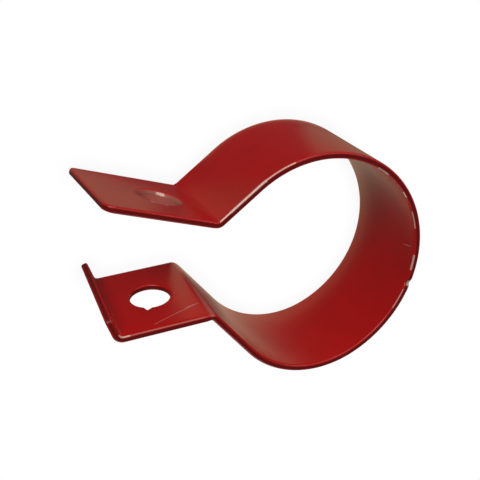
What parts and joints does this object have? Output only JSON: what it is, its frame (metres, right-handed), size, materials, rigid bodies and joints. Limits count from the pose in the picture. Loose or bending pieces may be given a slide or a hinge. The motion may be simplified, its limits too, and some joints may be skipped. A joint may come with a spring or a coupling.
{
  "type": "exhaust clamp",
  "caption": "Open steel strap clamp for an exhaust pipe: a round band whose ends fold out into splayed bolting ears, the shorter one with a turned-in lip.",
  "frame": {"origin": "on the axis of the clamped pipe, level with the edge of the strap that the clamp lies on", "axes": "+Z along the pipe and across the strap's width, -X out through the ring's mouth and along the ears, +Y towards the longer ear"},
  "size_m": [0.0762, 0.0518, 0.025],
  "materials": {
    "paint": "gloss"
  },
  "bodies": {
    "root": {"clamp_strap": "paint"}
  },
  "joints": []
}
